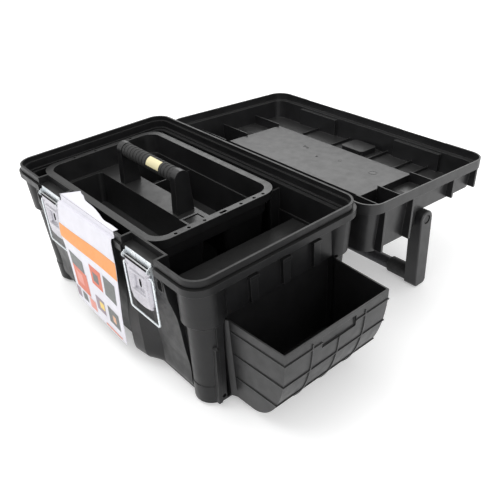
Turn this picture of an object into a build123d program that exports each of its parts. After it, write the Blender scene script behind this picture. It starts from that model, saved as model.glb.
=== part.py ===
from build123d import *
import os
from math import cos, radians, sin

# Carpenter toolbox, shown open: the lid is folded right back and the drawer in the right end is
# pulled out. Millimetres. The origin is on the floor at the centre of the tub's
# footprint, +X runs to the right end, -Y to the front with the latches, and +Z is up.

os.makedirs("parts", exist_ok=True)

# ---- Driving dimensions -------------------------------------------------------------------

WALL = 3.0

# Tub: drafted box with a lip, a groove and a flange round its mouth
LIP_Z = 267.0
LIP_LENGTH = 585.0
LIP_WIDTH = 343.0
LIP_CORNER = 32.0
LIP_THICKNESS = 4.0
LIP_HEIGHT = 10.5
GROOVE_HEIGHT = 2.5
GROOVE_DEPTH = 3.0
FLANGE_LENGTH = 595.0
FLANGE_WIDTH = 350.0
FLANGE_HEIGHT = 12.0
LEDGE_STEP = 4.0
TUB_TOP_LENGTH = 560.0
TUB_TOP_WIDTH = 312.0
TUB_FOOT_LENGTH = 528.0
TUB_FOOT_WIDTH = 292.0
TUB_CORNER = 22.0
BASE_Z = 12.0
CENTRE_PAD = 40.0
FOOT_TOP_Z = 45.0
FOOT_CHAMFER = 8.0
SHELF_Z = 190.0
SHELF_STEP = 2.0
PILLAR_STEP_Z = 168.0
PILLAR_RADIUS = 29.0
UPPER_PILLAR_RADIUS = 36.0
FOOT_RADIUS = 30.0

# Drawer bay in the right end of the tub
BAY_INNER_X = 152.0
BAY_CEILING_Z = 181.0
BAY_HALF_WIDTH = 121.5
RAIL_HEIGHT = 2.5
POST_WIDTH = 13.0
POST_REACH_TOP = 289.0
POST_REACH_FOOT = 277.0
BALL_RIB_TOP_Z = 128.0
APRON_RIB_YS = (-62.0, 4.0, 70.0)

# Drawer
DRAWER_TRAVEL = 111.0
DRAWER_INNER_X = 157.0
DRAWER_OUTER_X = 294.0
DRAWER_FLOOR_Z = 18.0
DRAWER_RIM_Z = 177.0
DRAWER_CURVE_X = DRAWER_OUTER_X - 80.0
DRAWER_HALF_INNER = 120.0
DRAWER_HALF_NECK = 115.5
DRAWER_HALF_OUTER = 110.0
DRAWER_SIDE_DRAFT = 5.0
DRAWER_RIB = 1.6
DRAWER_RIB_ZS = (64.0, 113.0, 158.0)
DRAWER_RIB_YS = (-56.0, 0.0, 56.0)
PULL_HALF_WIDTH = 36.0
PULL_Z = (147.0, 168.0)
PULL_DEPTH = 4.0

# Latches on two pods of the front wall
LATCH_XS = (-141.0, 153.0)
CATCH_XS = (-145.0, 145.0)
NOTCH_HALF = 45.0
NOTCH_Y = -152.0
POD_FACE_Y = -170.0
# Along the pod: x, how far its foot bulges out (0 none, 1 full) and how far its face is set back
POD_STATIONS = (
    (83.0, 1.0, 7.0),
    (90.0, 1.0, 0.0),
    (118.0, 0.8, 0.0),
    (148.0, 0.0, 0.0),
    (228.0, 0.0, 0.0),
)
POD_HOLLOW_END = 208.0
SLOT = ((212.0, 245.0), (228.0, 172.0), (240.0, 172.0), (240.0, 245.0))
PLATE_THICKNESS = 1.5
PLATE_HALF = 36.0
LEVER_PIN_Y = -175.5
LEVER_PIN_Z = 243.0
LEVER_PIN_RADIUS = 1.5
LEVER_HALF = 33.0
LEVER_BOTTOM_Z = 160.0
BAIL_PIN_Z = 230.0
BAIL_BOTTOM_Z = 141.0
BAIL_HALF = 41.0
BAIL_WIRE = 1.7
RIVET_Z = 215.0
RIVET_HALF = 20.0

# Hinges at the back
HINGE_Y = 184.0
HINGE_Z = 250.0
HINGE_XS = (-170.0, 170.0)
KNUCKLE_RADIUS = 6.5
HINGE_PIN_RADIUS = 3.0
KNUCKLE_HALF = 45.0
LID_KNUCKLE_HALF = 19.5
OPEN_DEG = 183.75

# Lid, described shut: the hinge half is deeper than the latch half
RIM_Z = 257.0
RIM_LENGTH = 595.0
RIM_WIDTH = 353.0
RIM_CORNER = 34.0
RIM_HEIGHT = 19.0
LID_LENGTH = (573.0, 562.0)
LID_WIDTH = (329.0, 318.0)
LID_CORNER = 28.0
LID_DEEP_Z = 360.0
LID_SHALLOW_Z = 318.0
STEP_DEEP_Y = 35.5
STEP_SHALLOW_Y = -20.5
POCKET_HALF_LENGTH = 195.0
POCKET_Y = (-74.5, 80.5)
PLATEAU_Z = 300.0
FIN_YS = (134.5, 56.5, -68.5, -144.5)
FIN_THICKNESS = 5.0
LID_RIB_XS = (-138.0, -42.0, 68.0, 138.0, 180.0)
CATCH_RAIL_Y = -175.0
ARM_NOTCH_X = 268.5
ARM_NOTCH_Y = 24.0

# Carry handle on the lid
PIVOT_Y = 4.0
PIVOT_Z = 336.0
PIVOT_PIN_RADIUS = 5.0
ARM_X = (270.5, 297.0)
ARM_WIDTH = 34.0
ARM_CLEAR_FLOOR = 1.5
TUBE_RADIUS = 13.0
TUBE_WALL = 1.6
TUBE_SOCKET = 18.0
COLLAR_RADIUS = 16.5
COLLAR_LENGTH = 48.0

# Lift-out tray
TRAY_X = -66.0
TRAY_LENGTH = 408.0
TRAY_WIDTH = 270.0
TRAY_CORNER = 36.0
TRAY_RIM_Z = 247.0
TRAY_SKIRT = 15.0
TRAY_RIM_WIDTH = 12.0
TRAY_WALL = 2.5
TRAY_STEP_Z = 206.0
TRAY_FOOT_Z = 140.0
TRAY_POST_XS = (-240.0, -60.0, 113.5)
BOWL_DRAFT = 3.0
BIN_X = (-247.0, 114.0)
BIN_YS = ((-119.0, -16.0), (24.5, 119.0))
BIN_DRAFT = 6.0
BIN_CORNER = 12.0
BIN_DIVIDER_X = -121.0
BIN_DIVIDER_TOP_Z = 203.0
UPRIGHT_XS = (-165.0, 17.0)
UPRIGHT_THICKNESS = 16.0
UPRIGHT_FOOT_HALF = 19.0
GRIP_Y = 4.0
GRIP_Z = 274.0
GRIP_RADIUS = 14.0
GRIP_CORE_RADIUS = 9.0
LABEL_X = (-70.0, -30.0)

# Card folded over the front rim
CARD_X = (-96.5, 81.0)
CARD_THICKNESS = 0.8

RUN_CLEARANCE = 0.05


# ---- Shape helpers ------------------------------------------------------------------------


def block(x, y, z):
    """Box from pairs of low and high limits."""
    centre = ((x[0] + x[1]) / 2, (y[0] + y[1]) / 2, (z[0] + z[1]) / 2)
    return Pos(*centre) * Box(x[1] - x[0], y[1] - y[0], z[1] - z[0])


def rounded(length, width, corner, z0, z1, x=0.0):
    """Upright rounded slab."""
    return extrude(Plane.XY.offset(z0) * Pos(x, 0) * RectangleRounded(length, width, corner), z1 - z0)


def drafted(low, high, x=0.0):
    """Loft between two rounded outlines, each (length, width, corner, z)."""
    outlines = [Plane.XY.offset(o[3]) * Pos(x, 0) * RectangleRounded(*o[:3]) for o in (low, high)]
    return loft(outlines, ruled=True)


def prism_x(points, x0, x1):
    """Polygon of (y, z) points pushed along X."""
    return extrude(Plane.YZ.offset(x0) * Polygon(*points, align=None), x1 - x0, dir=(1, 0, 0))


def prism_y(points, y0, y1):
    """Polygon of (x, z) points pushed along Y."""
    return extrude(Plane.XZ.offset(-y0) * Polygon(*points, align=None), y1 - y0, dir=(0, 1, 0))


def rod_x(y, z, radius, x0, x1):
    """Round bar along X."""
    return extrude(Plane.YZ.offset(x0) * Pos(y, z) * Circle(radius), x1 - x0)


def rod_y(x, z, radius, y0, y1):
    """Round bar along Y."""
    return extrude(Plane.XZ.offset(-y1) * Pos(x, z) * Circle(radius), y1 - y0)


def both_ends(shape):
    """The shape and its mirror image at the other end."""
    return [shape, mirror(shape, about=Plane.YZ)]


def opened(shape):
    """Turn a shape drawn on the shut lid to its place on the open lid."""
    return shape.rotate(Axis((0, HINGE_Y, HINGE_Z), (1, 0, 0)), -OPEN_DEG)


def opened_point(y, z):
    """Place of a shut-lid point, in the side view, once the lid is open."""
    turn = radians(-OPEN_DEG)
    dy = y - HINGE_Y
    dz = z - HINGE_Z
    return HINGE_Y + dy * cos(turn) - dz * sin(turn), HINGE_Z + dy * sin(turn) + dz * cos(turn)


def save(name, shapes):
    """Write one node, which may hold several separate solids."""
    parts = shapes if isinstance(shapes, list) else [shapes]
    solids = [solid for part in parts for solid in part.solids()]
    node = solids[0] if len(solids) == 1 else Compound(children=solids)
    export_step(node, f"parts/{name}.step")


# ---- Tub ----------------------------------------------------------------------------------

GROOVE_Z = LIP_Z - LIP_HEIGHT - GROOVE_HEIGHT
FLANGE_Z = GROOVE_Z - FLANGE_HEIGHT
LEDGE_ONE_Z = LIP_Z - 9.0
LEDGE_TWO_Z = LIP_Z - 23.0


def wall_x(z):
    """Half length of the tub's outside at a height."""
    return (TUB_FOOT_LENGTH + (TUB_TOP_LENGTH - TUB_FOOT_LENGTH) * z / FLANGE_Z) / 2


def wall_y(z):
    """Half width of the tub's outside at a height."""
    return (TUB_FOOT_WIDTH + (TUB_TOP_WIDTH - TUB_FOOT_WIDTH) * z / FLANGE_Z) / 2


def tub_walls(inset, z0, z1):
    """Drafted body of the tub, shrunk by inset."""
    low = (2 * (wall_x(z0) - inset), 2 * (wall_y(z0) - inset), TUB_CORNER - inset, z0)
    high = (2 * (wall_x(z1) - inset), 2 * (wall_y(z1) - inset), TUB_CORNER - inset, z1)
    return drafted(low, high)


def corner_column(radius, z0, z1, cap):
    """Round column that follows the drafted corner at +X -Y, with a tapered cap."""
    stations = [(z0, radius), (z1, radius), (z1 + cap, TUB_CORNER - 1)]
    circles = [
        Plane.XY.offset(z) * Pos(wall_x(z) - TUB_CORNER, TUB_CORNER - wall_y(z)) * Circle(r)
        for z, r in stations
    ]
    return loft(circles, ruled=True)


def upper_pillar():
    """Wider top of the +X -Y pillar, tapered at its lower end."""
    stations = ((PILLAR_STEP_Z, PILLAR_RADIUS), (PILLAR_STEP_Z + 8, UPPER_PILLAR_RADIUS))
    circles = []
    for z, radius in (*stations, (FLANGE_Z, UPPER_PILLAR_RADIUS)):
        centre = Pos(wall_x(z) - TUB_CORNER, TUB_CORNER - wall_y(z))
        circles.append(Plane.XY.offset(z) * centre * Circle(radius))
    return loft(circles, ruled=True)


def foot():
    """Foot under the +X -Y corner, chamfered at the floor."""
    x = wall_x(0) - TUB_CORNER
    y = TUB_CORNER - wall_y(0)
    tip = Plane.XY * Pos(x, y) * Circle(FOOT_RADIUS - FOOT_CHAMFER + 1)
    above = Plane.XY.offset(FOOT_CHAMFER) * Pos(x, y) * Circle(FOOT_RADIUS)
    return loft([tip, above], ruled=True) + corner_column(FOOT_RADIUS, FOOT_CHAMFER, FOOT_TOP_Z, 3)


def four_corners(shape):
    """Copies of a +X -Y corner shape at all four corners."""
    front = both_ends(shape)
    return front + [mirror(part, about=Plane.XZ) for part in front]


def pod_section(x, bulge, inset, top_z):
    """Pod's section at one station: straight to the foot at bulge 0, curled under at bulge 1."""
    y = POD_FACE_Y + inset
    straight = [(y, 205), (y + 9, 150), (y + 13, 104), (y + 18, 52), (y + 22, 20), (-140, 14 + inset)]
    curled = [(y, 205), (y - 1, 150), (y - 6, 104), (y - 6, 60), (y - 3, 32), (-140, 18 + inset)]
    face = [(a[0] + (b[0] - a[0]) * bulge, a[1] + (b[1] - a[1]) * bulge) for a, b in zip(straight, curled)]
    back = Polyline(face[-1], (-130, face[-1][1]), (-130, top_z), (y, top_z), face[0])
    return Plane.YZ.offset(x) * make_face(back + Spline(*face))


def pod():
    """Right latch pod: a front panel that bulges towards the tub's middle, with a slot by the pillar."""
    sections = [pod_section(x, bulge, inset, FLANGE_Z) for x, bulge, inset in POD_STATIONS]
    return loft(sections, ruled=True) - prism_y(SLOT, -200, -155)


def pod_hollow():
    """Space inside the right pod, open to the tub."""
    sections = []
    for x, bulge, inset in POD_STATIONS:
        place = min(x + WALL, POD_HOLLOW_END)
        sections.append(pod_section(place, bulge, inset + WALL, FLANGE_Z - 12))
    return loft(sections, ruled=True)


def bay_frame():
    """Ceiling and inner wall of the drawer bay, its sill, and the rails the drawer runs on."""
    reach = wall_x(FLANGE_Z)
    y = (-wall_y(FLANGE_Z), wall_y(FLANGE_Z))
    ceiling = block((BAY_INNER_X, reach), y, (BAY_CEILING_Z, BAY_CEILING_Z + WALL))
    inner = block((BAY_INNER_X, BAY_INNER_X + WALL), y, (BASE_Z, BAY_CEILING_Z + WALL))
    frame = (ceiling + inner) & tub_walls(WALL / 2, BASE_Z, FLANGE_Z)
    sill_y = (-BAY_HALF_WIDTH - 2, BAY_HALF_WIDTH + 2)
    frame += block((wall_x(BASE_Z) - 6, POST_REACH_FOOT), sill_y, (BASE_Z, BASE_Z + WALL))
    rail_z = (BASE_Z + WALL - 0.5, BASE_Z + WALL + RAIL_HEIGHT)
    for rail_y in (-96, 96):
        frame += block((BAY_INNER_X, POST_REACH_FOOT), (rail_y - 6, rail_y + 6), rail_z)
    return frame


def end_posts():
    """Right-hand end: corner posts, short ball-topped ribs, and a ribbed apron under the flange."""
    post_outline = [
        (wall_x(0) - 12, BASE_Z),
        (POST_REACH_FOOT, BASE_Z),
        (POST_REACH_TOP, FLANGE_Z),
        (wall_x(0) - 12, FLANGE_Z),
    ]
    short_outline = [
        (wall_x(0) - 12, BASE_Z),
        (POST_REACH_FOOT + 2, BASE_Z),
        (POST_REACH_FOOT + 7, BALL_RIB_TOP_Z),
        (wall_x(0), BALL_RIB_TOP_Z + 4),
    ]
    pieces = []
    for side in (-1, 1):
        near = side * BAY_HALF_WIDTH
        far = side * (BAY_HALF_WIDTH + POST_WIDTH)
        pieces.append(prism_y(post_outline, min(near, far), max(near, far)))
        rib_y = far + side * 1.0
        pieces.append(prism_y(short_outline, rib_y - 3.5, rib_y + 3.5))
        pieces.append(Pos(POST_REACH_FOOT + 3, rib_y, BALL_RIB_TOP_Z) * Sphere(4.5))
    apron_z = (BAY_CEILING_Z, FLANGE_Z + 2)
    pieces.append(block((270, 284), (-BAY_HALF_WIDTH, BAY_HALF_WIDTH), apron_z))
    for rib_y in APRON_RIB_YS:
        pieces.append(block((280, 291), (rib_y - 7, rib_y + 7), (BAY_CEILING_Z + 4, 226)))
        pieces.append(block((280, 293), (rib_y - 9, rib_y + 9), (226, 232)))
    return pieces


def drawer_opening():
    """Hole in the right end wall that the drawer passes through."""
    y = (-BAY_HALF_WIDTH, BAY_HALF_WIDTH)
    return block((240, 300), y, (BASE_Z + WALL, BAY_CEILING_Z))


def tub_hinge(centre_x):
    """Pair of knuckles with their arms, bored for the pin."""
    pieces = []
    for x0 in (centre_x - KNUCKLE_HALF, centre_x + LID_KNUCKLE_HALF + 0.5):
        x1 = x0 + KNUCKLE_HALF - LID_KNUCKLE_HALF - 0.5
        pieces.append(rod_x(HINGE_Y, HINGE_Z, KNUCKLE_RADIUS, x0, x1))
        pieces.append(block((x0, x1), (172, HINGE_Y), (HINGE_Z - 6, HINGE_Z + 2)))
    return pieces


def tray_posts():
    """Slim ribs on the front and back walls that carry the tray's skirt."""
    top_z = TRAY_RIM_Z - TRAY_SKIRT - 0.3
    inside = tub_walls(WALL / 2, BASE_Z, FLANGE_Z)
    pieces = []
    for x in TRAY_POST_XS:
        for side in (-1, 1):
            near = side * (TRAY_WIDTH / 2 - 9)
            far = side * (wall_y(FLANGE_Z) - 1)
            rib = block((x - 2, x + 2), (min(near, far), max(near, far)), (BASE_Z + 1, top_z)) & inside
            cap_y = (min(near, near + side * 3), max(near, near + side * 3))
            pieces.append(rib)
            pieces.append(block((x - 4.5, x + 4.5), cap_y, (BASE_Z + 1, top_z)))
    return pieces


def tub_shell():
    """The moulded tub in one piece."""
    shell = tub_walls(0, BASE_Z, FLANGE_Z + 1)
    for piece in four_corners(corner_column(PILLAR_RADIUS, BASE_Z, PILLAR_STEP_Z, 4)):
        shell += piece
    for piece in four_corners(upper_pillar()):
        shell += piece
    for piece in four_corners(foot()):
        shell += piece
    for piece in end_posts():
        for copy in both_ends(piece):
            shell += copy
    for piece in both_ends(pod()):
        shell += piece
    shell += block((-CENTRE_PAD, CENTRE_PAD), (-CENTRE_PAD, CENTRE_PAD), (0, BASE_Z + 1))
    corner = LIP_CORNER
    shell += rounded(TUB_TOP_LENGTH + 14, TUB_TOP_WIDTH + 14, corner - 6, FLANGE_Z - 6, FLANGE_Z)
    shell += rounded(FLANGE_LENGTH, FLANGE_WIDTH, corner + 2, FLANGE_Z, GROOVE_Z)
    groove_shrink = 2 * GROOVE_DEPTH
    groove = (LIP_LENGTH - groove_shrink, LIP_WIDTH - groove_shrink, corner - GROOVE_DEPTH)
    shell += rounded(*groove, GROOVE_Z, GROOVE_Z + GROOVE_HEIGHT)
    shell += rounded(LIP_LENGTH, LIP_WIDTH, corner, GROOVE_Z + GROOVE_HEIGHT, LIP_Z)

    # Mouth: two ledges step in below the lip, then the drafted inside
    inside = LIP_THICKNESS
    for z0, z1 in ((LEDGE_ONE_Z, LIP_Z), (LEDGE_TWO_Z, LEDGE_ONE_Z), (FLANGE_Z - 2, LEDGE_TWO_Z)):
        size = (LIP_LENGTH - 2 * inside, LIP_WIDTH - 2 * inside, corner - inside)
        shell -= rounded(*size, z0, z1)
        inside += LEDGE_STEP
    shell -= tub_walls(WALL, SHELF_Z, FLANGE_Z)
    shell -= tub_walls(WALL + SHELF_STEP, BASE_Z + WALL, SHELF_Z)
    for hollow in both_ends(pod_hollow()):
        shell -= hollow
    for x in LATCH_XS:
        jog_y = (NOTCH_Y - 22, NOTCH_Y + LIP_THICKNESS)
        jog_x = (x - NOTCH_HALF - LIP_THICKNESS, x + NOTCH_HALF + LIP_THICKNESS)
        jog_z = (FLANGE_Z - 12, LIP_Z)
        shell += block(jog_x, jog_y, jog_z) & rounded(LIP_LENGTH, LIP_WIDTH, corner, *jog_z)
        notch_x = (x - NOTCH_HALF, x + NOTCH_HALF)
        shell -= block(notch_x, (-190, NOTCH_Y), (GROOVE_Z, LIP_Z + 1))
        shell -= block(notch_x, (-190, POD_FACE_Y), (FLANGE_Z - 12, LIP_Z + 1))

    shell += bay_frame()
    shell -= drawer_opening()
    for piece in tray_posts():
        shell += piece
    for x in HINGE_XS:
        for piece in tub_hinge(x):
            shell += piece
        shell -= rod_x(HINGE_Y, HINGE_Z, HINGE_PIN_RADIUS, x - KNUCKLE_HALF - 1, x + KNUCKLE_HALF + 1)
    for x in rivet_xs():
        shell -= rod_y(x, RIVET_Z, 2, POD_FACE_Y - 4, POD_FACE_Y + 7)
    for side in (-1, 1):
        hole = rod_x(side * (BAY_HALF_WIDTH + 5), 22, 4, 268, 292)
        for copy in both_ends(hole):
            shell -= copy
    return shell


# ---- Latches ------------------------------------------------------------------------------


def rivet_xs():
    """Places of the four rivets along X."""
    return [x + dx for x in LATCH_XS for dx in (-RIVET_HALF, RIVET_HALF)]


def latch_plate(x):
    """Sheet plate riveted to the pod, with two ears for the lever's pin."""
    face = POD_FACE_Y - PLATE_THICKNESS
    plate = block((x - PLATE_HALF, x + PLATE_HALF), (face, POD_FACE_Y), (205, 255))
    for side in (-1, 1):
        edge = x + side * PLATE_HALF
        span = (min(edge, edge - side * 1.5), max(edge, edge - side * 1.5))
        plate += block(span, (LEVER_PIN_Y, face), (236, 250))
        plate += rod_x(LEVER_PIN_Y, LEVER_PIN_Z, 5, *span)
    for dx in (-RIVET_HALF, RIVET_HALF):
        plate -= rod_y(x + dx, RIVET_Z, 2, face - 1, POD_FACE_Y + 1)
    ear_bore = rod_x(LEVER_PIN_Y, LEVER_PIN_Z, LEVER_PIN_RADIUS, x - PLATE_HALF, x + PLATE_HALF)
    return plate - ear_bore


def lever_pin(x):
    """Pin through the plate's ears."""
    return rod_x(LEVER_PIN_Y, LEVER_PIN_Z, LEVER_PIN_RADIUS, x - PLATE_HALF, x + PLATE_HALF)


def rivet(x):
    """Rivet with a low round head."""
    face = POD_FACE_Y - PLATE_THICKNESS
    return rod_y(x, RIVET_Z, 2, face, POD_FACE_Y + WALL) + rod_y(x, RIVET_Z, 3.8, face - 1.4, face)


def latch_lever(x):
    """Pressed lever: rolled top edge on the pin, flat blade, rolled finger edge, bail bosses."""
    span = (x - LEVER_HALF, x + LEVER_HALF)
    blade_y = (LEVER_PIN_Y - 1, LEVER_PIN_Y + 1)
    lever = block(span, blade_y, (LEVER_BOTTOM_Z + 2, LEVER_PIN_Z - 1))
    lever += rod_x(LEVER_PIN_Y, LEVER_PIN_Z, 3.6, *span)
    lever += rod_x(LEVER_PIN_Y, LEVER_BOTTOM_Z + 2.4, 2.4, *span)
    panel = block((x - 24, x + 24), (LEVER_PIN_Y - 1.8, LEVER_PIN_Y), (172, 218))
    lever += panel
    for side in (-1, 1):
        outer = x + side * LEVER_HALF
        inner = x + side * (LEVER_HALF - 7)
        lever += rod_x(LEVER_PIN_Y, BAIL_PIN_Z, 3.4, min(inner, outer), max(inner, outer))
        bore = BAIL_WIRE + RUN_CLEARANCE
        lever -= rod_x(LEVER_PIN_Y, BAIL_PIN_Z, bore, min(inner, outer) - 1.5, max(inner, outer) + 0.5)
    return lever - rod_x(LEVER_PIN_Y, LEVER_PIN_Z, LEVER_PIN_RADIUS + RUN_CLEARANCE, *span)


def latch_bail(x):
    """Wire loop that hangs from the lever and hooks over the lid."""
    inner = LEVER_HALF - 6.5
    route = [
        (x - inner, LEVER_PIN_Y, BAIL_PIN_Z),
        (x - BAIL_HALF, LEVER_PIN_Y, BAIL_PIN_Z),
        (x - BAIL_HALF, LEVER_PIN_Y, BAIL_BOTTOM_Z),
        (x + BAIL_HALF, LEVER_PIN_Y, BAIL_BOTTOM_Z),
        (x + BAIL_HALF, LEVER_PIN_Y, BAIL_PIN_Z),
        (x + inner, LEVER_PIN_Y, BAIL_PIN_Z),
    ]
    path = FilletPolyline(*route, radius=5)
    start = Plane(origin=route[0], z_dir=(-1, 0, 0))
    return sweep(start * Circle(BAIL_WIRE), path=path)


# ---- Drawer -------------------------------------------------------------------------------


def drawer_solid(grow):
    """Full outer form of the shut right drawer, grown by an amount (negative shrinks it)."""
    floor_z = DRAWER_FLOOR_Z - grow
    inner_x = DRAWER_INNER_X - min(grow, 0)
    outer_x = DRAWER_OUTER_X + grow
    top_z = DRAWER_RIM_Z + (2 if grow < 0 else 0)
    radii = (outer_x - DRAWER_CURVE_X, top_z - floor_z)
    curve = EllipticalCenterArc((DRAWER_CURVE_X, top_z), *radii, start_angle=270, arc_size=90)
    rest = Polyline((outer_x, top_z), (inner_x, top_z), (inner_x, floor_z), (DRAWER_CURVE_X, floor_z))
    side_view = extrude(Plane.XZ.offset(-130) * make_face(curve + rest), 260)
    outlines = []
    for z, draft in ((0.0, DRAWER_SIDE_DRAFT), (DRAWER_RIM_Z + 4, 0.0)):
        half = [
            (80.0, DRAWER_HALF_INNER),
            (DRAWER_OUTER_X - 124, DRAWER_HALF_INNER),
            (DRAWER_OUTER_X - 114, DRAWER_HALF_NECK),
            (DRAWER_OUTER_X + 6, DRAWER_HALF_OUTER),
        ]
        left = [(x, y - draft + grow) for x, y in half]
        outline = left + [(x, -y) for x, y in reversed(left)]
        outlines.append(Plane.XY.offset(z) * Polygon(*outline, align=None))
    return side_view & loft(outlines, ruled=True)


def drawer():
    """Shut right drawer: thin shell, grid of slim ribs and a finger pull."""
    outer = drawer_solid(0)
    body = outer - drawer_solid(-2.6)
    pull_y = (-PULL_HALF_WIDTH - 2.6, PULL_HALF_WIDTH + 2.6)
    back_x = DRAWER_OUTER_X - PULL_DEPTH
    body += block((back_x - 3, 310), pull_y, (PULL_Z[0] - 2.6, PULL_Z[1] + 2.6)) & outer
    skin = drawer_solid(DRAWER_RIB) - outer
    for z in DRAWER_RIB_ZS:
        body += skin & block((DRAWER_OUTER_X - 111, 310), (-130, 130), (z - 1, z + 1))
    for y in DRAWER_RIB_YS:
        body += skin & block((DRAWER_OUTER_X - 87, 310), (y - 1, y + 1), (0, DRAWER_RIM_Z - 10))
    pull = (-PULL_HALF_WIDTH, PULL_HALF_WIDTH)
    return body - block((back_x, 310), pull, PULL_Z)


# ---- Lid ----------------------------------------------------------------------------------


def lid_body(inset):
    """Stepped hollow form of the shut lid above its rim, shrunk by inset."""
    base_z = RIM_Z + RIM_HEIGHT - inset
    top_z = LID_DEEP_Z - inset
    low = (LID_LENGTH[0] - 2 * inset, LID_WIDTH[0] - 2 * inset, LID_CORNER - inset, base_z)
    high = (LID_LENGTH[1] - 2 * inset, LID_WIDTH[1] - 2 * inset, LID_CORNER - inset - 2, top_z)
    side_view = [
        (-200, base_z),
        (200, base_z),
        (200, top_z),
        (STEP_DEEP_Y - inset / 2, top_z),
        (STEP_SHALLOW_Y - inset / 2, LID_SHALLOW_Z - inset),
        (-200, LID_SHALLOW_Z - inset),
    ]
    return drafted(low, high) & prism_x(side_view, -300, 300)


def pivot_ear():
    """Lug on the right end of the lid that holds the handle's pivot pin."""
    ear = rod_x(PIVOT_Y, PIVOT_Z, 15, 251, ARM_NOTCH_X)
    foot_z = (LID_SHALLOW_Z - 3, PIVOT_Z)
    return ear + block((251, ARM_NOTCH_X), (PIVOT_Y - 15, PIVOT_Y + 15), foot_z)


def lid_knuckle(centre_x):
    """Lid's hinge knuckle with the web that joins it to the rim."""
    span = (centre_x - LID_KNUCKLE_HALF, centre_x + LID_KNUCKLE_HALF)
    back = RIM_WIDTH / 2
    web = [
        (HINGE_Y - KNUCKLE_RADIUS + 0.3, HINGE_Z),
        (HINGE_Y + KNUCKLE_RADIUS - 0.3, HINGE_Z),
        (HINGE_Y + 3, RIM_Z + 8),
        (back - 0.5, RIM_Z + 15),
        (back - 2, RIM_Z + 15),
        (back - 2, RIM_Z + 2),
    ]
    return rod_x(HINGE_Y, HINGE_Z, KNUCKLE_RADIUS, *span) + prism_x(web, *span)


def lid_inside():
    """Low floor ribs, deep dividers, catch boxes and the finger block inside the lid."""
    cavity = lid_body(WALL / 2)
    pieces = []
    for x in LID_RIB_XS:
        pieces.append(block((x - 1, x + 1), (-170, POCKET_Y[0] + 1), (LID_SHALLOW_Z - 9, LID_DEEP_Z)))
    for side in (-1, 1):
        reach = (side * (POCKET_HALF_LENGTH - 1), side * 290)
        for y in (-72.0, 28.5, 92.0):
            pieces.append(block((min(reach), max(reach)), (y - 1, y + 1), (PLATEAU_Z - 6, LID_DEEP_Z)))
    for x in CATCH_XS:
        pieces.append(block((x - 58, x + 58), (-170, -154), (RIM_Z + 20, LID_SHALLOW_Z)))
    finger_block = Plane.XY.offset(LID_SHALLOW_Z - 15) * Pos(15, -124) * RectangleRounded(62, 52, 8)
    pieces.append(extrude(finger_block, 15))
    return [piece & cavity for piece in pieces]


def lid_shell():
    """The moulded lid, drawn shut and then opened."""
    rim_top = RIM_Z + RIM_HEIGHT
    shell = rounded(RIM_LENGTH, RIM_WIDTH, RIM_CORNER, RIM_Z, rim_top) + lid_body(0)
    fin_x = (LID_LENGTH[1] / 2 - 4, RIM_LENGTH / 2)
    for y in FIN_YS:
        fin_top = LID_DEEP_Z - 3 if y > STEP_DEEP_Y else LID_SHALLOW_Z - 4
        fin = block(fin_x, (y - FIN_THICKNESS / 2, y + FIN_THICKNESS / 2), (rim_top - 1, fin_top))
        for copy in both_ends(fin):
            shell += copy
    for x in HINGE_XS:
        shell += lid_knuckle(x)

    inner_rim = (RIM_LENGTH - 2 * WALL, RIM_WIDTH - 2 * WALL, RIM_CORNER - WALL)
    shell -= rounded(*inner_rim, RIM_Z, rim_top - WALL)
    pocket_x = (-POCKET_HALF_LENGTH, POCKET_HALF_LENGTH)
    cavity = lid_body(WALL) - block(pocket_x, POCKET_Y, (PLATEAU_Z, LID_DEEP_Z + 1))
    for copy in both_ends(block((ARM_NOTCH_X - WALL, 300), (-200, ARM_NOTCH_Y + WALL), (314.5, 400))):
        cavity -= copy
    shell -= cavity
    hollow_x = (-POCKET_HALF_LENGTH + WALL, POCKET_HALF_LENGTH - WALL)
    hollow_y = (POCKET_Y[0] + WALL, POCKET_Y[1] - WALL)
    shell -= block(hollow_x, hollow_y, (PLATEAU_Z + WALL, LID_DEEP_Z + 1))
    for copy in both_ends(block((ARM_NOTCH_X, 300), (-200, ARM_NOTCH_Y), (317.5, 400))):
        shell -= copy
    for piece in lid_inside():
        shell += piece
    for copy in both_ends(pivot_ear()):
        shell += copy
    for copy in both_ends(rod_x(PIVOT_Y, PIVOT_Z, PIVOT_PIN_RADIUS, 253, ARM_NOTCH_X + 1)):
        shell -= copy
    for x in CATCH_XS:
        shell -= block((x - 57, x + 57), (-180, CATCH_RAIL_Y), (RIM_Z - 1, RIM_Z + 6))
    for x in HINGE_XS:
        bore = HINGE_PIN_RADIUS + RUN_CLEARANCE
        shell -= rod_x(HINGE_Y, HINGE_Z, bore, x - KNUCKLE_HALF, x + KNUCKLE_HALF)
    return opened(shell)


# ---- Carry handle, hanging plumb from the open lid ------------------------------------------

HANDLE_Y, HANDLE_Z = opened_point(PIVOT_Y, PIVOT_Z)
TUBE_Z = ARM_CLEAR_FLOOR + ARM_WIDTH / 2


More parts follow.
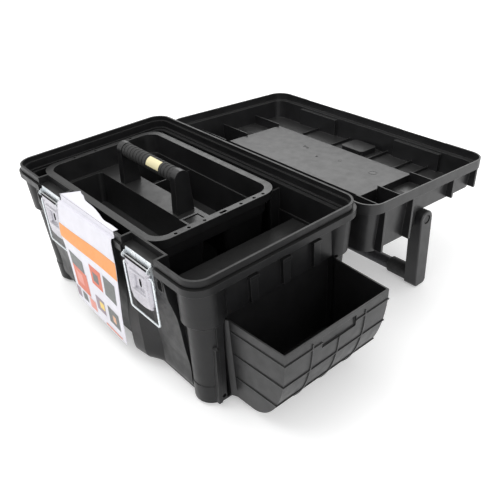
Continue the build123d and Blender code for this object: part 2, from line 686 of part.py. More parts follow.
def handle_arm():
    """Right arm: round at the pivot, soft-cornered at the tube."""
    half = ARM_WIDTH / 2
    bar = Pos(HANDLE_Y, (HANDLE_Z + ARM_CLEAR_FLOOR) / 2) * Rectangle(ARM_WIDTH, HANDLE_Z - ARM_CLEAR_FLOOR)
    bar = fillet(bar.vertices().sort_by(Axis.Y)[:2], 9)
    outline = bar + Pos(HANDLE_Y, HANDLE_Z) * Circle(half)
    arm = extrude(Plane.YZ.offset(ARM_X[0]) * outline, ARM_X[1] - ARM_X[0])
    rims = arm.faces().sort_by(Axis.X)[-1].edges()
    arm = fillet(rims, 3)
    arm -= rod_x(HANDLE_Y, HANDLE_Z, PIVOT_PIN_RADIUS + RUN_CLEARANCE, ARM_X[0] - 1, ARM_X[1] + 1)
    arm -= rod_x(HANDLE_Y, HANDLE_Z, 9, ARM_X[1] - 3, ARM_X[1] + 1)
    return arm - rod_x(HANDLE_Y, TUBE_Z, TUBE_RADIUS, ARM_X[0] - 1, ARM_X[0] + TUBE_SOCKET)


def handle_tube():
    """Aluminium tube between the arms."""
    reach = ARM_X[0] + TUBE_SOCKET
    bar = rod_x(HANDLE_Y, TUBE_Z, TUBE_RADIUS, -reach, reach)
    return bar - rod_x(HANDLE_Y, TUBE_Z, TUBE_RADIUS - TUBE_WALL, -reach, reach)


def grip_collar():
    """Right rubber collar on the tube, chamfered at its free end."""
    x = (ARM_X[0] - COLLAR_LENGTH, ARM_X[0])
    collar = rod_x(HANDLE_Y, TUBE_Z, COLLAR_RADIUS, *x)
    collar = chamfer(collar.faces().sort_by(Axis.X)[0].edges(), 2.5)
    return collar - rod_x(HANDLE_Y, TUBE_Z, TUBE_RADIUS, x[0] - 1, x[1] + 1)


def pivot_pin():
    """Right handle pin: shank in the lid's lug, head sunk in the arm's outer face."""
    head_x = ARM_X[1] - 3 + 0.3
    shank = rod_x(HANDLE_Y, HANDLE_Z, PIVOT_PIN_RADIUS, 253, head_x)
    return shank + rod_x(HANDLE_Y, HANDLE_Z, 7, head_x, head_x + 1.4)


# ---- Tray ---------------------------------------------------------------------------------


def tray_bowl(inset, z0):
    """Shallow upper bowl of the tray, from a height up to the rim, shrunk by inset."""
    length = TRAY_LENGTH - 2 * TRAY_RIM_WIDTH + 2 - 2 * inset
    width = TRAY_WIDTH - 2 * TRAY_RIM_WIDTH + 2 - 2 * inset
    corner = TRAY_CORNER - 8 - inset
    low = (length - 2 * BOWL_DRAFT, width - 2 * BOWL_DRAFT, corner - BOWL_DRAFT, z0)
    return drafted(low, (length, width, corner, TRAY_RIM_Z), TRAY_X)


def tray_bin(y, inset, z0, z1):
    """Deep bin under the bowl, drafted towards its floor, shrunk by inset."""
    centre = Pos((BIN_X[0] + BIN_X[1]) / 2, (y[0] + y[1]) / 2)
    outlines = []
    for z, draft in ((z0, BIN_DRAFT), (z1, 0.0)):
        length = BIN_X[1] - BIN_X[0] - 2 * (draft + inset)
        width = y[1] - y[0] - 2 * (draft + inset)
        outlines.append(Plane.XY.offset(z) * centre * RectangleRounded(length, width, BIN_CORNER - inset))
    return loft(outlines, ruled=True)


def tray_shell():
    """Tote tray: skirted rim with tool holes, shallow bowl, and two deep bins below it."""
    size = (TRAY_LENGTH, TRAY_WIDTH, TRAY_CORNER)
    skirt_z = TRAY_RIM_Z - TRAY_SKIRT
    tray = rounded(*size, skirt_z, TRAY_RIM_Z, TRAY_X)
    inner = (TRAY_LENGTH - 2 * TRAY_WALL, TRAY_WIDTH - 2 * TRAY_WALL, TRAY_CORNER - TRAY_WALL)
    tray -= rounded(*inner, skirt_z, TRAY_RIM_Z - TRAY_WALL, TRAY_X)
    tray += tray_bowl(0, TRAY_STEP_Z - TRAY_WALL)
    for y in BIN_YS:
        tray += tray_bin(y, 0, TRAY_FOOT_Z, TRAY_STEP_Z)
    tray -= tray_bowl(TRAY_WALL, TRAY_STEP_Z)
    for y in BIN_YS:
        tray -= tray_bin(y, TRAY_WALL, TRAY_FOOT_Z + TRAY_WALL, TRAY_STEP_Z + 1)
    back_bin = tray_bin(BIN_YS[1], TRAY_WALL / 2, TRAY_FOOT_Z, TRAY_STEP_Z)
    divider_x = (BIN_DIVIDER_X - 1, BIN_DIVIDER_X + 1)
    tray += block(divider_x, BIN_YS[1], (TRAY_FOOT_Z + 1, BIN_DIVIDER_TOP_Z)) & back_bin

    rim_x = TRAY_X + TRAY_LENGTH / 2 - TRAY_RIM_WIDTH / 2
    for y in (-88, -62, -30, 48, 77, 98):
        tray -= Pos(rim_x, y, TRAY_RIM_Z) * Cylinder(3, 12)
    tray -= block((rim_x - 3, rim_x + 3), (2, 16), (TRAY_RIM_Z - 6, TRAY_RIM_Z + 1))
    left_x = 2 * TRAY_X - rim_x
    for y in (-62, -14, 70):
        tray -= Pos(left_x, y, TRAY_RIM_Z) * Cylinder(3, 12)
    loop = block((97, 126), (-57, -18), (TRAY_RIM_Z - 5, TRAY_RIM_Z - 2))
    loop -= block((101, 121), (-53, -22), (TRAY_RIM_Z - 6, TRAY_RIM_Z - 1))
    return tray + loop


def tray_handle():
    """Two uprights and the core bar of the tray's handle."""
    bar = rod_x(GRIP_Y, GRIP_Z, GRIP_CORE_RADIUS, *UPRIGHT_XS)
    for x in UPRIGHT_XS:
        profile = [
            (GRIP_Y - UPRIGHT_FOOT_HALF, TRAY_STEP_Z),
            (GRIP_Y + UPRIGHT_FOOT_HALF, TRAY_STEP_Z),
            (GRIP_Y + GRIP_RADIUS + 1, GRIP_Z),
            (GRIP_Y - GRIP_RADIUS - 1, GRIP_Z),
        ]
        span = (x - UPRIGHT_THICKNESS / 2, x + UPRIGHT_THICKNESS / 2)
        bar += prism_x(profile, *span)
        bar += rod_x(GRIP_Y, GRIP_Z, GRIP_RADIUS + 1, *span)
    return bar


def tray_grip():
    """Soft sleeve with raised rings, between the uprights."""
    half = UPRIGHT_THICKNESS / 2
    x0 = UPRIGHT_XS[0] + half
    x1 = UPRIGHT_XS[1] - half
    sleeve = rod_x(GRIP_Y, GRIP_Z, GRIP_RADIUS - 0.8, x0, x1)
    rings = 16
    pitch = (x1 - x0) / rings
    for i in range(rings):
        middle = x0 + (i + 0.5) * pitch
        sleeve += rod_x(GRIP_Y, GRIP_Z, GRIP_RADIUS, middle - pitch / 3, middle + pitch / 3)
    return sleeve - rod_x(GRIP_Y, GRIP_Z, GRIP_CORE_RADIUS, x0 - 1, x1 + 1)


def grip_label():
    """Blank sticker wrapped over the front of the sleeve."""
    band = rod_x(GRIP_Y, GRIP_Z, GRIP_RADIUS + 0.5, *LABEL_X)
    band -= rod_x(GRIP_Y, GRIP_Z, GRIP_RADIUS, LABEL_X[0] - 1, LABEL_X[1] + 1)
    corner = 30
    y = GRIP_Y
    wedge = [(y, GRIP_Z), (y - corner, GRIP_Z + 3), (y - corner, GRIP_Z + corner), (y - 3, GRIP_Z + corner)]
    return band & prism_x(wedge, *LABEL_X)


# ---- Card ---------------------------------------------------------------------------------


def card_section(x, hang):
    """Card's section at one end: a flap over the lip, then the hanging line of (y, z) points."""
    flap = [(-153.0, LIP_Z + 0.3), (-171.7, LIP_Z + 0.3), (-171.7, 256.6), (-175.4, 254.3)]
    inner = flap + hang
    outer = [(y - CARD_THICKNESS * 0.8, z + CARD_THICKNESS * 0.4) for y, z in reversed(inner)]
    return Plane.YZ.offset(x) * Polygon(*inner, *outer, align=None)


def label_card():
    """Printed card folded over the rim: it bows out at its left edge and tucks in at its right."""
    left = [(-178.5, 240), (-183.0, 210), (-186.0, 185), (-184.0, 140), (-183.0, 95), (-181.0, 34)]
    right = [(-176.0, 240), (-175.5, 210), (-175.0, 185), (-178.0, 140), (-180.0, 95), (-178.0, 34)]
    sections = [card_section(CARD_X[0], left), card_section(CARD_X[1], right)]
    sheet = loft(sections, ruled=True)
    skew = [(CARD_X[0] - 1, 0), (CARD_X[1] + 1, 0), (CARD_X[1] + 1, 36), (CARD_X[0] - 1, 66)]
    return sheet - prism_y(skew, -200, -160)


# ---- Write every node -----------------------------------------------------------------------

save("tub_shell", tub_shell())
save("lid_shell", lid_shell())
hinge_pins = [
    rod_x(HINGE_Y, HINGE_Z, HINGE_PIN_RADIUS, x - KNUCKLE_HALF, x + KNUCKLE_HALF) for x in HINGE_XS
]
save("hinge_pins", hinge_pins)
save("latch_rivets", [rivet(x) for x in rivet_xs()])
for label, x in zip(("left", "right"), LATCH_XS):
    save(f"{label}_latch_plate", latch_plate(x))
    save(f"{label}_lever_pin", lever_pin(x))
    save(f"{label}_latch_lever", latch_lever(x))
    save(f"{label}_latch_bail", latch_bail(x))
save("right_drawer", Pos(DRAWER_TRAVEL, 0, 0) * drawer())
for label, turned in zip(("right", "left"), zip(both_ends(handle_arm()), both_ends(grip_collar()))):
    save(f"{label}_handle_arm", turned[0])
    save(f"{label}_grip_collar", turned[1])
save("handle_tube", handle_tube())
save("handle_pivot_pins", both_ends(pivot_pin()))
save("tray_shell", tray_shell())
save("tray_handle", tray_handle())
save("tray_grip", tray_grip())
save("grip_label", grip_label())
save("label_card", label_card())
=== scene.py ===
import math

import bpy
from mathutils import Matrix, Vector


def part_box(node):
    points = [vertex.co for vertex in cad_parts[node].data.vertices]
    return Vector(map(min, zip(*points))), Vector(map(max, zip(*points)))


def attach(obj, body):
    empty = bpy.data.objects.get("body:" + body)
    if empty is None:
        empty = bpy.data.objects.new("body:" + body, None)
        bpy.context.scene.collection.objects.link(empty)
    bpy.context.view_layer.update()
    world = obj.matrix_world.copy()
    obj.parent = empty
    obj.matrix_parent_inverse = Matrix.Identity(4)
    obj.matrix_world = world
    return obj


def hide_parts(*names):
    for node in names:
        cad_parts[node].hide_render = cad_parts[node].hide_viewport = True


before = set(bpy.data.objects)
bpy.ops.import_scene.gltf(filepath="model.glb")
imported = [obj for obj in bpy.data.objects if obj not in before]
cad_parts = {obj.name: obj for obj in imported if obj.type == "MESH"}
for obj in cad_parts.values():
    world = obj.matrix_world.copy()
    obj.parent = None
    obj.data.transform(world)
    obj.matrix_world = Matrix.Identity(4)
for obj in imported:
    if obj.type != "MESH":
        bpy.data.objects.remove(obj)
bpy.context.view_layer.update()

# Carpenter toolbox, open. Metres, in the CAD model's frame: +X right end, -Y front, +Z up.

MM = 0.001


# ---- Node helpers ---------------------------------------------------------------------------


class Shade:
    """A new material with short calls for adding and joining nodes."""

    def __init__(self, name):
        self.material = bpy.data.materials.new(name)
        self.material.use_nodes = True
        self.tree = self.material.node_tree
        self.tree.nodes.clear()
        self.output = self.tree.nodes.new("ShaderNodeOutputMaterial")
        self.shader = self.tree.nodes.new("ShaderNodeBsdfPrincipled")
        self.link(self.shader.outputs["BSDF"], self.output.inputs["Surface"])
        self.place = self.tree.nodes.new("ShaderNodeTexCoord").outputs["Object"]

    def link(self, source, target):
        self.tree.links.new(source, target)

    def set(self, **values):
        for name, value in values.items():
            self.shader.inputs[name.replace("_", " ")].default_value = value

    def stretched(self, scale):
        node = self.tree.nodes.new("ShaderNodeMapping")
        node.inputs["Scale"].default_value = scale
        self.link(self.place, node.inputs["Vector"])
        return node.outputs["Vector"]

    def noise(self, scale, detail=4.0, rough=0.5, vector=None, distortion=0.0):
        node = self.tree.nodes.new("ShaderNodeTexNoise")
        node.inputs["Scale"].default_value = scale
        node.inputs["Detail"].default_value = detail
        node.inputs["Roughness"].default_value = rough
        node.inputs["Distortion"].default_value = distortion
        self.link(vector or self.place, node.inputs["Vector"])
        return node.outputs["Fac"]

    def ramp(self, value, low, high, bottom=0.0, top=1.0):
        """Map a value from low..high to bottom..top, held inside that range."""
        node = self.tree.nodes.new("ShaderNodeMapRange")
        for name, number in (("From Min", low), ("From Max", high), ("To Min", bottom), ("To Max", top)):
            node.inputs[name].default_value = number
        self.link(value, node.inputs["Value"])
        return node.outputs["Result"]

    def math(self, kind, first, second):
        node = self.tree.nodes.new("ShaderNodeMath")
        node.operation = kind
        for socket, value in zip(node.inputs, (first, second)):
            if isinstance(value, (int, float)):
                socket.default_value = value
            else:
                self.link(value, socket)
        return node.outputs[0]

    def mix(self, fac, first, second):
        """Blend two colours, each a colour or a socket."""
        node = self.tree.nodes.new("ShaderNodeMix")
        node.data_type = "RGBA"
        self.link(fac, node.inputs["Factor"])
        for socket, value in ((node.inputs[6], first), (node.inputs[7], second)):
            if isinstance(value, tuple):
                socket.default_value = (*value, 1.0)
            else:
                self.link(value, socket)
        return node.outputs[2]

    def edges(self, radius):
        """Rounded-edge normal, and a mask that is 1 on the sharp edges."""
        bevel = self.tree.nodes.new("ShaderNodeBevel")
        bevel.samples = 4
        bevel.inputs["Radius"].default_value = radius
        geometry = self.tree.nodes.new("ShaderNodeNewGeometry")
        dot = self.tree.nodes.new("ShaderNodeVectorMath")
        dot.operation = "DOT_PRODUCT"
        self.link(bevel.outputs["Normal"], dot.inputs[0])
        self.link(geometry.outputs["Normal"], dot.inputs[1])
        return bevel.outputs["Normal"], self.ramp(dot.outputs["Value"], 0.97, 0.85)

    def painted_top_light_mask(self):
        """Mask that is 1 on faces looking up, which carries the painted top light."""
        geometry = self.tree.nodes.new("ShaderNodeNewGeometry")
        parts = self.tree.nodes.new("ShaderNodeSeparateXYZ")
        self.link(geometry.outputs["Normal"], parts.inputs[0])
        return self.ramp(parts.outputs["Z"], 0.4, 0.95)

    def bump(self, height, strength, distance, normal=None):
        node = self.tree.nodes.new("ShaderNodeBump")
        node.inputs["Strength"].default_value = strength
        node.inputs["Distance"].default_value = distance
        self.link(height, node.inputs["Height"])
        if normal:
            self.link(normal, node.inputs["Normal"])
        return node.outputs["Normal"]


def grey(value, tint=1.0):
    return (value, value, value * tint)


# ---- Materials ------------------------------------------------------------------------------


def moulded_plastic(name, base=0.007, dust_and_top_light=0.013, rough=(0.3, 0.44), edge_radius=0.8 * MM, shine=0.5):
    """Black moulded plastic: fine grain, faint flow marks, rubbed edges, a little dust and painted top
    light.
    """
    s = Shade(name)
    normal, rubbed = s.edges(edge_radius)
    cloud = s.noise(14, detail=6, rough=0.6)
    grain = s.noise(1400, detail=2)
    speck = s.ramp(s.noise(420, detail=2), 0.66, 0.74)
    tone = s.mix(s.ramp(cloud, 0.35, 0.7), grey(base, 1.06), grey(dust_and_top_light, 1.05))
    tone = s.mix(s.math("MULTIPLY", rubbed, 0.8), tone, grey(0.085))
    tone = s.mix(s.math("MULTIPLY", speck, 0.05), tone, grey(0.1))
    # Painted top light: faces looking up get a lighter grey, standing in for the light from above.
    s.link(s.mix(s.painted_top_light_mask(), tone, grey(dust_and_top_light + 0.005)), s.shader.inputs["Base Color"])
    s.link(s.ramp(s.noise(60, detail=5), 0.3, 0.7, *rough), s.shader.inputs["Roughness"])
    s.link(s.bump(grain, 0.25, 0.1 * MM, normal), s.shader.inputs["Normal"])
    s.set(IOR=1.49, Specular_IOR_Level=shine)
    return s.material


def soft_rubber(name):
    s = Shade(name)
    tone = s.mix(s.ramp(s.noise(120, detail=5), 0.35, 0.7), grey(0.016), grey(0.03))
    s.link(tone, s.shader.inputs["Base Color"])
    s.link(s.ramp(s.noise(300), 0.3, 0.7, 0.62, 0.78), s.shader.inputs["Roughness"])
    s.link(s.bump(s.noise(2200, detail=2), 0.3, 0.1 * MM), s.shader.inputs["Normal"])
    return s.material


def zinc_sheet(name, dull, bright, metallic):
    """Zinc plate: faint cloudiness and light handling marks."""
    s = Shade(name)
    s.set(Metallic=metallic)
    tone = s.mix(s.ramp(s.noise(60, detail=4), 0.3, 0.7), dull, bright)
    s.link(tone, s.shader.inputs["Base Color"])
    s.link(s.ramp(s.noise(180, detail=4), 0.3, 0.7, 0.24, 0.36), s.shader.inputs["Roughness"])
    scratch = s.noise(500, detail=2, vector=s.stretched((1, 1, 0.12)))
    s.link(s.bump(scratch, 0.05, 0.05 * MM), s.shader.inputs["Normal"])
    return s.material


def brushed_tube(name):
    """Satin anodised tube, brushed round its axis."""
    s = Shade(name)
    s.set(Metallic=0.6)
    rings = s.noise(900, detail=3, vector=s.stretched((1, 0.02, 0.02)))
    tone = s.mix(s.ramp(rings, 0.3, 0.7), (0.055, 0.055, 0.058), (0.085, 0.085, 0.09))
    s.link(tone, s.shader.inputs["Base Color"])
    s.link(s.ramp(rings, 0.3, 0.7, 0.42, 0.55), s.shader.inputs["Roughness"])
    s.link(s.bump(rings, 0.15, 0.05 * MM), s.shader.inputs["Normal"])
    return s.material


def printed(name, colour, fade=0.06, rough=0.35):
    """Coated card printed in one colour, with faint fibre and fading."""
    s = Shade(name)
    dim = tuple(channel * (1 - fade) for channel in colour)
    s.link(s.mix(s.ramp(s.noise(45, detail=6), 0.35, 0.7), dim, colour), s.shader.inputs["Base Color"])
    s.link(s.ramp(s.noise(150), 0.3, 0.7, rough, rough + 0.15), s.shader.inputs["Roughness"])
    s.link(s.bump(s.noise(900, detail=4), 0.1, 0.1 * MM), s.shader.inputs["Normal"])
    return s.material


def steel_pin(name):
    s = Shade(name)
    s.set(Metallic=1.0)
    s.link(s.mix(s.noise(200), (0.42, 0.42, 0.42), (0.6, 0.6, 0.6)), s.shader.inputs["Base Color"])
    s.link(s.ramp(s.noise(400), 0.3, 0.7, 0.25, 0.4), s.shader.inputs["Roughness"])
    return s.material


def dress(material, *names):
    """Give CAD nodes a material."""
    for name in names:
        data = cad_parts[name].data
        data.materials.clear()
        data.materials.append(material)


SHELL = moulded_plastic("shell_plastic", shine=0.27)
LID = moulded_plastic("lid_plastic", base=0.008, dust_and_top_light=0.016, rough=(0.28, 0.4))
DRAWER = moulded_plastic("drawer_plastic", base=0.007, dust_and_top_light=0.013)
TRAY = moulded_plastic("tray_plastic", base=0.006, dust_and_top_light=0.012, rough=(0.3, 0.42))
ARM = moulded_plastic("arm_plastic", base=0.009, dust_and_top_light=0.016)
RUBBER = soft_rubber("soft_rubber")
ZINC = zinc_sheet("zinc_sheet", (0.43, 0.42, 0.46), (0.54, 0.53, 0.57), 0.9)
# Painted light: a paler, less metallic copy of the zinc, so that plates and bails look lit in shade.
PAINTED_LIGHT_ZINC = zinc_sheet("painted_light_zinc", (0.7, 0.75, 0.78), (0.84, 0.88, 0.9), 0.55)
TUBE = brushed_tube("brushed_tube")
PIN = steel_pin("steel_pin")
DARK_PIN = moulded_plastic("dark_pin", base=0.005, dust_and_top_light=0.008, rough=(0.4, 0.55))
SHADOW_GAP = moulded_plastic("shadow_gap", base=0.002, dust_and_top_light=0.004, rough=(0.7, 0.8), shine=0.05)
CARD_WHITE = printed("card_white", (0.76, 0.75, 0.81))

dress(SHELL, "tub_shell")
dress(LID, "lid_shell")
dress(DRAWER, "right_drawer")
dress(TRAY, "tray_shell", "tray_handle")
dress(ARM, "left_handle_arm", "right_handle_arm")
dress(RUBBER, "left_grip_collar", "right_grip_collar", "tray_grip")
dress(TUBE, "handle_tube")
dress(PIN, "hinge_pins", "latch_rivets", "left_lever_pin", "right_lever_pin")
dress(DARK_PIN, "handle_pivot_pins")
for side in ("left", "right"):
    # Painted light: plates and bails take the paler zinc copy; the levers keep the plain zinc.
    dress(PAINTED_LIGHT_ZINC, f"{side}_latch_plate", f"{side}_latch_bail")
    dress(ZINC, f"{side}_latch_lever")
dress(printed("sticker_print", (0.82, 0.74, 0.45)), "grip_label")
dress(CARD_WHITE, "label_card")


# ---- Mesh helpers ---------------------------------------------------------------------------


def new_piece(name, verts, faces, material, body, slot, smooth=True):
    """Mesh piece from millimetre vertices, riding on a body."""
    data = bpy.data.meshes.new(name)
    data.from_pydata([tuple(c * MM for c in v) for v in verts], [], faces)
    for polygon in data.polygons:
        polygon.use_smooth = smooth
    data.materials.append(material)
    piece = bpy.data.objects.new(name, data)
    bpy.context.scene.collection.objects.link(piece)
    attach(piece, body)
    return piece


def grid(place, columns, rows):
    """Vertices and faces of a sheet whose points come from place(u, v), u and v from 0 to 1."""
    verts = [place(i / columns, j / rows) for j in range(rows + 1) for i in range(columns + 1)]
    faces = []
    for j in range(rows):
        for i in range(columns):
            a = j * (columns + 1) + i
            faces.append((a, a + columns + 1, a + columns + 2, a + 1))
    return verts, faces


def bar_x(centre, radius, x0, x1, sides=20):
    """Vertices and faces of a closed round bar along X."""
    verts = []
    for x in (x0, x1):
        for i in range(sides):
            turn = 2 * math.pi * i / sides
            verts.append((x, centre[0] + radius * math.cos(turn), centre[1] + radius * math.sin(turn)))
    faces = [(i, (i + 1) % sides, sides + (i + 1) % sides, sides + i) for i in range(sides)]
    return verts, faces + [tuple(reversed(range(sides))), tuple(range(sides, 2 * sides))]


def joined(*meshes):
    """One list of vertices and faces from several."""
    verts, faces = [], []
    for more_verts, more_faces in meshes:
        start = len(verts)
        verts += more_verts
        faces += [tuple(start + i for i in face) for face in more_faces]
    return verts, faces


def step(value, low, high):
    """Smooth rise from 0 at low to 1 at high."""
    t = min(max((value - low) / (high - low), 0.0), 1.0)
    return t * t * (3 - 2 * t)


def slab(x, y, z):
    """Vertices and faces of a closed box."""
    verts = [(a, b, c) for a in x for b in y for c in z]
    faces = [(0, 1, 3, 2), (4, 6, 7, 5), (0, 4, 5, 1), (2, 3, 7, 6), (0, 2, 6, 4), (1, 5, 7, 3)]
    return verts, faces


def disc(x, y, z, sides=24):
    """Vertices and faces of a flat oval in a front face; x and z are its centre and half size."""
    turns = [2 * math.pi * i / sides for i in range(sides)]
    verts = [(x[0] + x[1] * math.cos(turn), y, z[0] + z[1] * math.sin(turn)) for turn in turns]
    return verts, [tuple(range(sides))]


# ---- Card over the front rim ------------------------------------------------------------------

# Left and right edges of the hanging sheet in millimetres, from the crease down. Both stay close
# to the tub's lip above z 257, so that the shut lid clears them.
CARD_LEFT = (
    (-95, -172.6, 268.6),
    (-96, -172.6, 257),
    (-96.5, -180.5, 251.5),
    (-96.5, -186, 211),
    (-96.5, -187.5, 191),
    (-96.5, -185, 165),
    (-96.5, -183, 118),
    (-96.5, -182.5, 80),
    (-96.5, -182, 48),
)
CARD_RIGHT = (
    (87, -172.6, 268.6),
    (87, -172.5, 257),
    (86, -178.6, 252),
    (85, -178.8, 204),
    (84, -180, 177),
    (83, -182, 140),
    (81, -184, 100),
    (78, -183.5, 60),
    (74, -182, 33),
)
# Uneven free edge of the flap that lies over the tub's mouth, from left to right
FLAP_EDGE = (
    (-73, -143, 270.5),
    (-65, -146, 269.8),
    (-54, -147.5, 269.4),
    (-38, -153, 269),
    (-8, -155, 268.9),
    (18, -159, 268.8),
    (45, -164.5, 268.8),
    (66, -163.5, 268.7),
    (88, -164, 268.7),
)
CARD_THICKNESS = 0.6
CARD_WAVE = 0.7
PRINT_LIFT = 0.25


def along(points, t):
    """Smooth curve through points, t from 0 to 1."""
    span = t * (len(points) - 1)
    i = min(int(span), len(points) - 2)
    f = span - i
    near = [Vector(points[min(max(k, 0), len(points) - 1)]) for k in range(i - 1, i + 3)]
    a, b, c, d = near
    square = 2 * a - 5 * b + 4 * c - d
    cube = 3 * b - a - 3 * c + d
    return 0.5 * (2 * b + (c - a) * f + square * f**2 + cube * f**3)


def card_point(u, t, lift=0.0):
    """Point of the hanging sheet, lifted off it by a distance."""
    point = along(CARD_LEFT, t).lerp(along(CARD_RIGHT, t), u)
    wave = CARD_WAVE * math.sin(2.2 * math.pi * u) * math.sin(math.pi * t)
    return (point.x, point.y - wave - lift, point.z)


def flap_point(u, v):
    """Point of the flap, from its free edge at v 0 to the crease at v 1."""
    return tuple(along(FLAP_EDGE, u).lerp(Vector(card_point(u, 0.0)), v))


def card_sheet():
    """The card itself: flap and hanging part in one sheet, in place of the plain CAD card."""
    hang = grid(card_point, 36, 60)
    flap = grid(flap_point, 36, 6)
    sheet = new_piece("card_sheet", *joined(flap, hang), CARD_WHITE, "tub", "card")
    body = sheet.modifiers.new("thickness", "SOLIDIFY")
    body.thickness = CARD_THICKNESS * MM
    body.offset = -1.0
    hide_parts("label_card")


def patch(name, u, t, material, lift=PRINT_LIFT):
    """Block of print between two u and two t values."""
    def place(a, b):
        return card_point(u[0] + (u[1] - u[0]) * a, t[0] + (t[1] - t[0]) * b, lift)
    new_piece(name, *grid(place, 12, 12), material, "tub", "card")


def card_print():
    """Painted shadow along the crease, then a wide band and plain blocks of print, each between two u
    and two t values.
    """
    orange = printed("print_orange", (0.86, 0.33, 0.075))
    grey_ink = printed("print_grey", (0.13, 0.14, 0.135))
    red = printed("print_red", (0.68, 0.16, 0.09))
    rose = printed("print_rose", (0.76, 0.3, 0.24))
    mauve = printed("print_mauve", (0.3, 0.24, 0.28))
    yellow = printed("print_yellow", (0.85, 0.62, 0.16))
    tan = printed("print_tan", (0.72, 0.42, 0.26))
    # Painted shadow: a dark strip along the crease stands in for the shade of the fold.
    patch("card_crease", (0.0, 1.0), (0.0, 0.012), printed("crease_shadow", (0.2, 0.19, 0.2)))
    patch("print_band", (0.0, 1.0), (0.356, 0.508), orange)
    blocks = (
        ((0.07, 0.33), (0.62, 0.7), grey_ink),
        ((0.07, 0.35), (0.7, 0.85), red),
        ((0.12, 0.25), (0.725, 0.8), rose),
        ((0.47, 0.67), (0.575, 0.705), red),
        ((0.51, 0.61), (0.62, 0.68), grey_ink),
        ((0.715, 0.925), (0.57, 0.7), grey_ink),
        ((0.78, 0.88), (0.65, 0.69), tan),
        ((0.01, 0.1), (0.87, 0.95), mauve),
        ((0.15, 0.25), (0.87, 0.935), grey_ink),
        ((0.3, 0.43), (0.86, 0.945), rose),
        ((0.47, 0.64), (0.78, 0.885), mauve),
        ((0.54, 0.63), (0.8, 0.85), yellow),
        ((0.71, 0.92), (0.77, 0.89), grey_ink),
        ((0.79, 0.85), (0.81, 0.86), tan),
        ((0.6, 0.92), (0.955, 0.982), rose),
    )
    for number, (u, t, material) in enumerate(blocks):
        patch(f"print_block_{number}", u, t, material, PRINT_LIFT + 0.05 * (number % 3))


# ---- Latch levers -----------------------------------------------------------------------------

LEVER_Y = -175.5
LEVER_TOP_Z = 239.0
LEVER_FOOT_Z = 162.5
LEVER_HALF = 33.0
# Share of the pressing's half width that lies across; the rest folds back
LEVER_FOLD = 0.965
# Raised panel and the pocket sunk into it
PANEL_HALF = 21.0
PANEL_RISE = 2.0
POCKET_HALF = 16.5
POCKET_DEPTH = 4.5
# Oval hole, drawn as a near-black oval of painted shade: its centre's height, then half its width and
# half its height
HOLE_Z = 205.0
HOLE_SIZE = (3.0, 8.0)
# Bosses that hold the bail: height, radius and inner end
BOSS_Z = 230.0
BOSS_RADIUS = 3.0
BOSS_INNER = 26.5
# Top of the painted shadow that fills the gap over the lever
GAP_TOP_Z = 243.4


def lever_face(centre_x):
    """Pressed face: folded sides, a raised panel with a sunk pocket, and a narrower curved foot."""
    def place(u, v):
        side = 2 * u - 1
        half = LEVER_HALF * (1 - 0.16 * step(v, 0.72, 1.0))
        x = half * max(-1.0, min(1.0, side / LEVER_FOLD))
        curl = 5.0 * side * side * step(v, 0.8, 1.0)
        z = LEVER_TOP_Z + (LEVER_FOOT_Z - LEVER_TOP_Z) * v + curl
        panel = 1 - step(abs(x), PANEL_HALF, PANEL_HALF + 2)
        panel *= step(v, 0.15, 0.2) * (1 - step(v, 0.72, 0.78))
        pocket = 1 - step(abs(x), POCKET_HALF, POCKET_HALF + 2)
        pocket *= step(v, 0.24, 0.28) * (1 - step(v, 0.63, 0.67))
        fold = 5.0 * step(abs(side), 0.93, 1.0)
        return (centre_x + x, LEVER_Y - 1.2 - PANEL_RISE * panel + POCKET_DEPTH * pocket + fold, z)
    return grid(place, 72, 84)


def latch_lever(side):
    """One lever: pressed face, painted shadow in its oval hole and in the gap at the pin, and bosses the
    wire turns in.
    """
    low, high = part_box(f"{side}_latch_lever")
    centre_x = (low[0] + high[0]) / 2 / MM
    meshes = [lever_face(centre_x)]
    for sign in (-1, 1):
        ends = sorted((centre_x + sign * BOSS_INNER, centre_x + sign * LEVER_HALF))
        meshes.append(bar_x((LEVER_Y + 0.8, BOSS_Z), BOSS_RADIUS, *ends))
    lever = new_piece(f"{side}_lever_pressing", *joined(*meshes), ZINC, f"{side}_lever", "zinc_steel")
    sheet = lever.modifiers.new("thickness", "SOLIDIFY")
    sheet.thickness = 1.0 * MM
    sheet.offset = 0.0
    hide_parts(f"{side}_latch_lever")
    x = (centre_x - LEVER_HALF, centre_x + LEVER_HALF)
    # Painted shadow: a near-black slab fills the gap at the pin and a near-black oval marks the hole.
    gap = slab(x, (LEVER_Y - 1.7, LEVER_Y + 3.0), (LEVER_TOP_Z + 0.3, GAP_TOP_Z))
    hole = disc((centre_x, HOLE_SIZE[0]), LEVER_Y + 0.5, (HOLE_Z, HOLE_SIZE[1]))
    dark = joined(gap, hole)
    new_piece(f"{side}_lever_gap_shadow", *dark, SHADOW_GAP, f"{side}_lever", "black_plastic", smooth=False)


# ---- Recess beside each latch -------------------------------------------------------------------

RECESS_X = 204.0
RECESS_Z = 225.0
RECESS_SIDES = 32
# Half width, half height and y of the loops, from the frame's foot over its crest to the floor painted
# near black as shade
RECESS_LOOPS = ((8.0, 11.4, -169.0), (8.0, 11.4, -171.0), (6.8, 10.2, -171.0), (6.5, 9.9, -170.3))


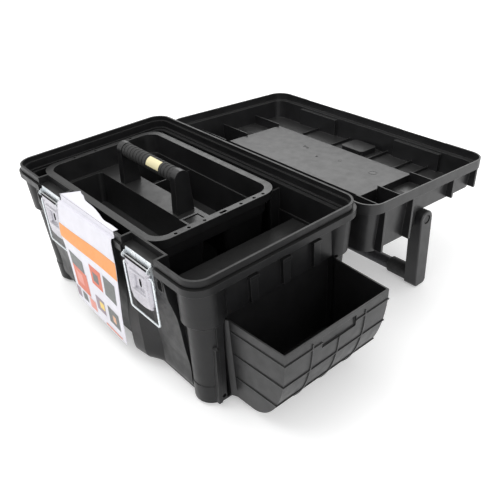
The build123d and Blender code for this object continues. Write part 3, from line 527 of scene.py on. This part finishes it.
def recess(centre_x):
    """Raised rounded frame and its floor, as stacked loops round a rounded rectangle."""
    verts, faces = [], []
    for half_x, half_z, y in RECESS_LOOPS:
        for i in range(RECESS_SIDES):
            turn = 2 * math.pi * i / RECESS_SIDES
            across, up = math.cos(turn), math.sin(turn)
            bow = (abs(across) ** 5 + abs(up) ** 5) ** 0.2
            verts.append((centre_x + half_x * across / bow, y, RECESS_Z + half_z * up / bow))
    last = (len(RECESS_LOOPS) - 1) * RECESS_SIDES
    for start in range(0, last, RECESS_SIDES):
        for i in range(RECESS_SIDES):
            a, b = start + i, start + (i + 1) % RECESS_SIDES
            faces.append((a, b, b + RECESS_SIDES, a + RECESS_SIDES))
    faces.append(tuple(range(last, last + RECESS_SIDES)))
    return verts, faces


def pod_recesses():
    """Both recesses; the last face of each is its floor, painted near black as shade."""
    for side, sign in (("left", -1), ("right", 1)):
        shape = recess(sign * RECESS_X)
        mark = new_piece(f"{side}_pod_recess", *shape, LID, "tub", "black_plastic", smooth=False)
        # Painted shade: the recess floor gets the near-black shadow material, standing in for the shade
        # inside it.
        mark.data.materials.append(SHADOW_GAP)
        mark.data.polygons[-1].material_index = 1


# ---- Moulding marks on the lid's raised panel ---------------------------------------------------

LID_TILT = math.radians(3.75)
PANEL_Y = 284.0
PANEL_Z = 193.34


def ring(centre, radius, wire):
    """Vertices and faces of a low ring on the panel, which tilts with the open lid."""
    around, across = 28, 6
    verts = []
    for i in range(around):
        turn = 2 * math.pi * i / around
        for j in range(across):
            bend = 2 * math.pi * j / across
            reach = radius + wire * math.cos(bend)
            x = reach * math.cos(turn)
            y = reach * math.sin(turn)
            height = 0.5 * wire * math.sin(bend)
            verts.append((centre[0] + x, centre[1] + y, panel_z(centre[1] + y) + height))
    faces = []
    for i in range(around):
        for j in range(across):
            a, b = i * across + j, i * across + (j + 1) % across
            c, d = (i + 1) % around * across + (j + 1) % across, (i + 1) % around * across + j
            faces.append((a, d, c, b))
    return verts, faces


def panel_z(y):
    """Height of the raised panel on the open lid."""
    return PANEL_Z - (y - PANEL_Y) * math.tan(LID_TILT)


def moulding_marks():
    """Low rings, each with its centre, its radius and half the width of its line."""
    marks = (
        ((-57, 389), 3.0, 1.2),
        ((-47, 387), 3.0, 1.2),
        ((2, 366), 2.2, 1.4),
        ((52, 385), 4.0, 0.5),
        ((140, 387), 8.0, 0.8),
    )
    meshes = [ring(*mark) for mark in marks]
    new_piece("panel_marks", *joined(*meshes), LID, "lid", "black_plastic")


card_sheet()
card_print()
pod_recesses()
latch_lever("left")
latch_lever("right")
moulding_marks()


# ---- Camera, floor and light ----------------------------------------------------------------


def camera():
    """Camera at the angle of the photograph, turned a little about its own axis."""
    place = Vector((0.87329, -0.53233, 0.75786))
    azimuth = math.radians(51.33)
    elevation = math.radians(32.77)
    roll = math.radians(-3.73)
    flat = math.cos(elevation)
    back = Vector((math.sin(azimuth) * flat, -math.cos(azimuth) * flat, math.sin(elevation)))
    level = (-back).cross(Vector((0, 0, 1))).normalized()
    above = level.cross(-back)
    right = math.cos(roll) * level + math.sin(roll) * above
    up = math.cos(roll) * above - math.sin(roll) * level
    data = bpy.data.cameras.new("camera")
    data.sensor_width = 36.0
    data.lens = 45.09
    data.clip_start = 0.05
    body = bpy.data.objects.new("camera", data)
    turn = Matrix((right, up, back)).transposed()
    body.matrix_world = Matrix.Translation(place) @ turn.to_4x4()
    bpy.context.scene.collection.objects.link(body)
    bpy.context.scene.camera = body


def floor():
    """Plain pale paper that glows a little, so that it stays near white."""
    bpy.ops.mesh.primitive_plane_add(size=30.0, location=(0, 0, 0))
    plane = bpy.context.object
    plane.name = "floor"
    s = Shade("floor_paper")
    s.link(s.mix(s.noise(3), (0.86, 0.86, 0.86), (0.88, 0.88, 0.88)), s.shader.inputs["Base Color"])
    s.set(Roughness=0.95, Emission_Color=(1, 1, 1, 1), Emission_Strength=0.3)
    plane.data.materials.append(s.material)


def soft_light(name, place, target, size, power):
    data = bpy.data.lights.new(name, "AREA")
    data.shape = "RECTANGLE"
    data.size, data.size_y = size
    data.energy = power
    lamp = bpy.data.objects.new(name, data)
    aim = Vector(target) - Vector(place)
    lamp.matrix_world = Matrix.Translation(place) @ aim.to_track_quat("-Z", "Y").to_matrix().to_4x4()
    bpy.context.scene.collection.objects.link(lamp)


def studio():
    """White surroundings and three large soft lights."""
    world = bpy.data.worlds.new("studio")
    world.use_nodes = True
    world.node_tree.nodes["Background"].inputs["Color"].default_value = (1, 1, 1, 1)
    world.node_tree.nodes["Background"].inputs["Strength"].default_value = 0.8
    bpy.context.scene.world = world
    bpy.context.scene.view_settings.view_transform = "Standard"
    soft_light("key", (-0.6, -0.6, 2.4), (0, 0, 0.1), (2.2, 2.2), 28)
    soft_light("right_fill", (2.4, -0.4, 1.3), (0.2, 0.1, 0.15), (1.6, 1.2), 16)
    soft_light("back_sheen", (-1.6, 2.4, 1.9), (0, 0.2, 0.2), (3.0, 1.6), 30)


camera()
floor()
studio()
